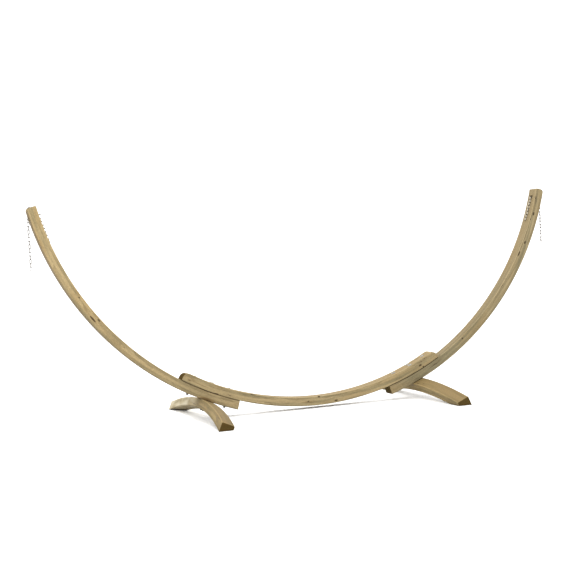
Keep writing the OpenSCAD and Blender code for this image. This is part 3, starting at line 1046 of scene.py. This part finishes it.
def pin_shape(points, place, long):
    """The screw that pins the chain: a hexagon head, and a coarse thread with a point at Z = 0."""
    f = fasteners()
    radius, flats, pitch = f.screw_radius, f.screw_flats, f.screw_pitch
    core, shank, point = radius * 0.74, radius * 0.92, radius * 1.1
    seat = long - f.screw_head
    inside_head = seat + f.head_rim
    profile = [(0, 0), (radius * 0.35, radius * 0.8)]
    turns = int(seat * 0.62 / pitch)
    for i in range(turns):
        low = point + i * pitch
        profile += [(core, low), (core, low + 0.52 * pitch), (radius, low + 0.74 * pitch)]
    profile += [(core, point + turns * pitch), (shank, point + (turns + 0.4) * pitch)]
    profile += [(shank, inside_head), (0, inside_head)]
    corner = flats / math.sqrt(3)
    turned = lathe([(0, seat), (corner, seat), (corner, long - f.screw_rim), (flats * 0.45, long), (0, long)])
    head = cut(hexagon(flats, seat, long + f.edge), turned, "INTERSECT")
    return gather(((lathe(profile, 28), Matrix.Identity(4)), (head, Matrix.Identity(4))))


def fastener_piece(name, node, long_part, shape, material):
    """Puts one shape at each solid of a CAD node, made to that solid's size."""
    parts = []
    for points in solids(node):
        place, long = fastener_frame(points, long_part)
        parts.append((shape(points, place, long), place))
    make_piece(name, gather(parts), [material], [node])


# ---- chain ----


def extend(bm, ring, offset):
    """Extrudes a ring of edges. Gives the new ring and its vertices."""
    made = bmesh.ops.extrude_edge_only(bm, edges=ring)["geom"]
    verts = [v for v in made if isinstance(v, bmesh.types.BMVert)]
    ring = [e for e in made if isinstance(e, bmesh.types.BMEdge) and all(v in verts for v in e.verts)]
    bmesh.ops.translate(bm, verts=verts, vec=(offset, 0, 0))
    return ring, verts


def link_shape():
    """One welded link along X, lying in XZ."""
    c = chain()
    wire = c.wire / 2
    bend = c.link_width / 2 + wire
    straight = c.link_length / 2 - c.link_width / 2
    bm = bmesh.new()
    bmesh.ops.create_circle(bm, segments=14, radius=wire, matrix=Matrix.Rotation(math.pi / 2, 4, "Y"))
    bmesh.ops.translate(bm, verts=bm.verts, vec=(-straight, 0, bend))
    ring, verts = bm.edges[:], bm.verts[:]
    # how much of the weld's swelling each station of the straight side has, from -1 to 1 along it
    weld = {-0.22: 0.0, -0.12: 0.4, -0.05: 1.0, 0.05: 1.0, 0.12: 0.4, 0.22: 0.0, 1.0: 0.0}
    at = -1.0
    for station in weld:
        ring, verts = extend(bm, ring, (station - at) * straight)
        at = station
    swell = {round(k * straight, 7): v for k, v in weld.items()}
    for vert in bm.verts:
        grow = swell.get(round(vert.co.x, 7), 0.0) * c.weld
        vert.co.y *= 1 + grow
        vert.co.z = bend + (vert.co.z - bend) * (1 + grow)
    half_turn = {"axis": (0, 1, 0), "angle": math.pi, "steps": 11}
    end = bmesh.ops.spin(bm, geom=ring + verts, cent=(straight, 0, 0), **half_turn)["geom_last"]
    ring = [e for e in end if isinstance(e, bmesh.types.BMEdge)]
    ring, verts = extend(bm, ring, -2 * straight)
    bmesh.ops.spin(bm, geom=ring + verts, cent=(-straight, 0, 0), **half_turn)
    bmesh.ops.remove_doubles(bm, verts=bm.verts, dist=2e-6)
    bmesh.ops.recalc_face_normals(bm, faces=bm.faces)
    # rub marks the bent ends where links touch; it paints wear and contact shade there
    rub = bm.verts.layers.float.new("rub")
    for vert in bm.verts:
        vert[rub] = min(1.0, max(0.0, 2 * (abs(vert.co.x) - straight) / (bend + wire)))
    return bm


def link_frame(points):
    """Where a CAD link lies: X along it and Z across it, both in its plane."""
    long, wide, _ = main_axes(points)
    long = long if long.z > 0 else -long
    wide = wide if wide.y + wide.x * 0.3 > 0 else -wide
    turn = Matrix((long, wide.cross(long), wide)).transposed()
    return Matrix.Translation(middle_of(points)) @ turn.to_4x4()


# ---- operators ----


class STAND_OT_centre_beam(bpy.types.Operator):
    """Builds the centre beam"""

    bl_idname = "stand.centre_beam"
    bl_label = "Centre beam"

    def execute(self, context):
        materials = timber_pair("centre_beam", 1.0, TONES["centre_beam"], BEAM_MOSS)
        make_piece("centre_beam_timber", centre_shape(), materials, ["centre_beam"])
        return {"FINISHED"}


class STAND_OT_arms(bpy.types.Operator):
    """Builds both arms, with the holes for the chains"""

    bl_idname = "stand.arms"
    bl_label = "Arms"

    def execute(self, context):
        for seed, side in enumerate(SIDES, 2):
            arm = f"{side}_arm"
            sunned = LEFT_ARM_PALER_UPWARDS if side == "left" else None
            materials = timber_pair(arm, float(seed), TONES[arm], BEAM_MOSS, sunned=sunned)
            make_piece(f"{arm}_timber", arm_shape(side), materials, [arm])
        return {"FINISHED"}


class STAND_OT_feet(bpy.types.Operator):
    """Builds both cross feet"""

    bl_idname = "stand.feet"
    bl_label = "Feet"

    def execute(self, context):
        for seed, side in enumerate(SIDES, 5):
            foot = f"{side}_foot"
            bleach = LEFT_FOOT_BLEACH if side == "left" else None
            materials = timber_pair(foot, float(seed), TONES["foot"], FOOT_MOSS, bleach=bleach)
            make_piece(f"{foot}_timber", foot_shape(side), materials, [foot])
        return {"FINISHED"}


class STAND_OT_bolts(bpy.types.Operator):
    """Builds the bolts, washers and nuts of both laps and both feet"""

    bl_idname = "stand.bolts"
    bl_label = "Bolts"

    def execute(self, context):
        f = fasteners()
        plated = zinc_material("plated_bolts", f.zinc, f.zinc_dark, 0.42, 0.75)
        stained = zinc_material("stained_nuts", f.zinc_dark, f.stain, 0.50, 0.8)
        for side in SIDES:
            for joint in ("lap", "foot"):
                node = f"{side}_{joint}"
                fastener_piece(f"{node}_bolt_set", f"{node}_bolts", True, bolt_shape, plated)
                for kind, finish in (("head", plated), ("nut", stained)):
                    washers = f"{node}_{kind}_washers"
                    fastener_piece(f"{washers}_set", washers, False, washer_shape, finish)
                fastener_piece(f"{node}_nut_set", f"{node}_nuts", False, nut_shape, stained)
        return {"FINISHED"}


class STAND_OT_chain_pins(bpy.types.Operator):
    """Builds the screw in the top of each arm that pins its chain, and the screw's washer"""

    bl_idname = "stand.chain_pins"
    bl_label = "Chain pins"

    def execute(self, context):
        f = fasteners()
        plated = zinc_material("plated_screws", f.zinc_dark, f.screw_dark, 0.45, 0.7)
        for side in SIDES:
            fastener_piece(f"{side}_chain_screw", f"{side}_chain_pin", True, pin_shape, plated)
            fastener_piece(f"{side}_screw_washer", f"{side}_pin_washer", False, washer_shape, plated)
        return {"FINISHED"}


class STAND_OT_chains(bpy.types.Operator):
    """Builds the links of both chains"""

    bl_idname = "stand.chains"
    bl_label = "Chains"

    def execute(self, context):
        c = chain()
        plated = zinc_material("plated_links", c.zinc, c.zinc_dark, 0.34, 0.45, rubbed=True)
        # painted shade: the links that hang free get a darker copy of the same plating
        painted_shade_zinc = zinc_material("weathered_links", c.painted_shade_zinc, c.zinc_dark, 0.46, 0.60, rubbed=True)
        runs = {
            "through_links": plated, "outer_top_link": painted_shade_zinc, "outer_upper_links": painted_shade_zinc,
            "outer_lower_links": painted_shade_zinc, "inner_top_link": plated, "inner_links": plated,
            "hammock_link": plated,
        }
        for side in SIDES:
            for run, finish in runs.items():
                node = f"{side}_{run}"
                links = gather([(link_shape(), link_frame(points)) for points in solids(node)])
                make_piece(f"{node}_welded", links, [finish], [node])
        return {"FINISHED"}


class STAND_OT_stage(bpy.types.Operator):
    """Builds the floor, the lights and the camera"""

    bl_idname = "stand.stage"
    bl_label = "Floor, lights and camera"

    def execute(self, context):
        scene = context.scene
        t = scene.stand_stage
        bm = bmesh.new()
        bmesh.ops.create_grid(bm, x_segments=1, y_segments=1, size=t.floor_size / 2)
        bmesh.ops.translate(bm, verts=bm.verts, vec=(0, 0, -0.5 * MILLIMETRE))
        mesh = bpy.data.meshes.new("floor")
        bm.to_mesh(mesh)
        bm.free()
        floor = bpy.data.objects.new("floor", mesh)
        scene.collection.objects.link(floor)
        s = Shader("pale_floor")
        cloud = s.noise(s.node("ShaderNodeTexCoord").outputs["Object"], 3.0, 2.0)
        shade = s.ease(cloud, 0.3, 0.7, 0.985, 1.0)
        s.feed(s.surface.inputs["Base Color"], s.shade(t.floor, shade))
        s.surface.inputs["Roughness"].default_value = 0.9
        s.surface.inputs["Specular IOR Level"].default_value = 0.0
        mesh.materials.append(s.material)

        scene.world = bpy.data.worlds.new("studio")
        scene.world.use_nodes = True
        sky = scene.world.node_tree.nodes["Background"]
        sky.inputs["Color"].default_value = (1, 1, 1, 1)
        sky.inputs["Strength"].default_value = t.sky
        for name, setting, size, place in LIGHTS:
            data = bpy.data.lights.new(name, "AREA")
            data.energy, data.size = getattr(t, setting), size
            light = bpy.data.objects.new(name, data)
            light.location = place
            light.rotation_euler = (Vector(t.target) - Vector(place)).to_track_quat("-Z", "Y").to_euler()
            scene.collection.objects.link(light)

        level = math.cos(t.elevation)
        back = Vector((math.sin(t.azimuth) * level, -math.cos(t.azimuth) * level, math.sin(t.elevation)))
        right = (-back).cross(Vector((0, 0, 1))).normalized()
        up = right.cross(-back)
        tilted_right = right * math.cos(t.roll) + up * math.sin(t.roll)
        tilted_up = up * math.cos(t.roll) - right * math.sin(t.roll)
        data = bpy.data.cameras.new("camera")
        data.lens, data.sensor_width = t.lens, 36.0
        data.shift_x, data.shift_y = t.shift
        data.clip_end = 200.0
        camera = bpy.data.objects.new("camera", data)
        turn = Matrix((tilted_right, tilted_up, back)).transposed().to_4x4()
        camera.matrix_world = Matrix.Translation(Vector(t.target) + back * t.distance) @ turn
        scene.collection.objects.link(camera)
        scene.camera = camera
        scene.view_settings.view_transform = "Standard"
        return {"FINISHED"}


PIECE_OPERATORS = (
    STAND_OT_centre_beam,
    STAND_OT_arms,
    STAND_OT_feet,
    STAND_OT_bolts,
    STAND_OT_chain_pins,
    STAND_OT_chains,
    STAND_OT_stage,
)


class STAND_PT_panel(bpy.types.Panel):
    """Lists the pieces of the stand and their settings"""

    bl_label = "Hammock stand"
    bl_idname = "STAND_PT_panel"
    bl_space_type = "VIEW_3D"
    bl_region_type = "UI"
    bl_category = "Hammock stand"

    def draw(self, context):
        for operator in PIECE_OPERATORS:
            self.layout.operator(operator.bl_idname)
        for settings in SETTINGS:
            group = getattr(context.scene, settings)
            box = self.layout.box()
            for name in group.bl_rna.properties.keys():
                if name not in ("rna_type", "name"):
                    box.prop(group, name)


SETTINGS = {
    "stand_timber": TimberSettings,
    "stand_fasteners": FastenerSettings,
    "stand_chain": ChainSettings,
    "stand_stage": StageSettings,
}
CLASSES = (*SETTINGS.values(), *PIECE_OPERATORS, STAND_PT_panel)


def register():
    for cls in CLASSES:
        bpy.utils.register_class(cls)
    for name, group in SETTINGS.items():
        setattr(bpy.types.Scene, name, PointerProperty(type=group))


def unregister():
    for name in SETTINGS:
        delattr(bpy.types.Scene, name)
    for cls in reversed(CLASSES):
        bpy.utils.unregister_class(cls)


def main():
    register()
    bpy.ops.stand.centre_beam()
    bpy.ops.stand.arms()
    bpy.ops.stand.feet()
    bpy.ops.stand.bolts()
    bpy.ops.stand.chain_pins()
    bpy.ops.stand.chains()
    bpy.ops.stand.stage()


if __name__ == "__main__":
    main()
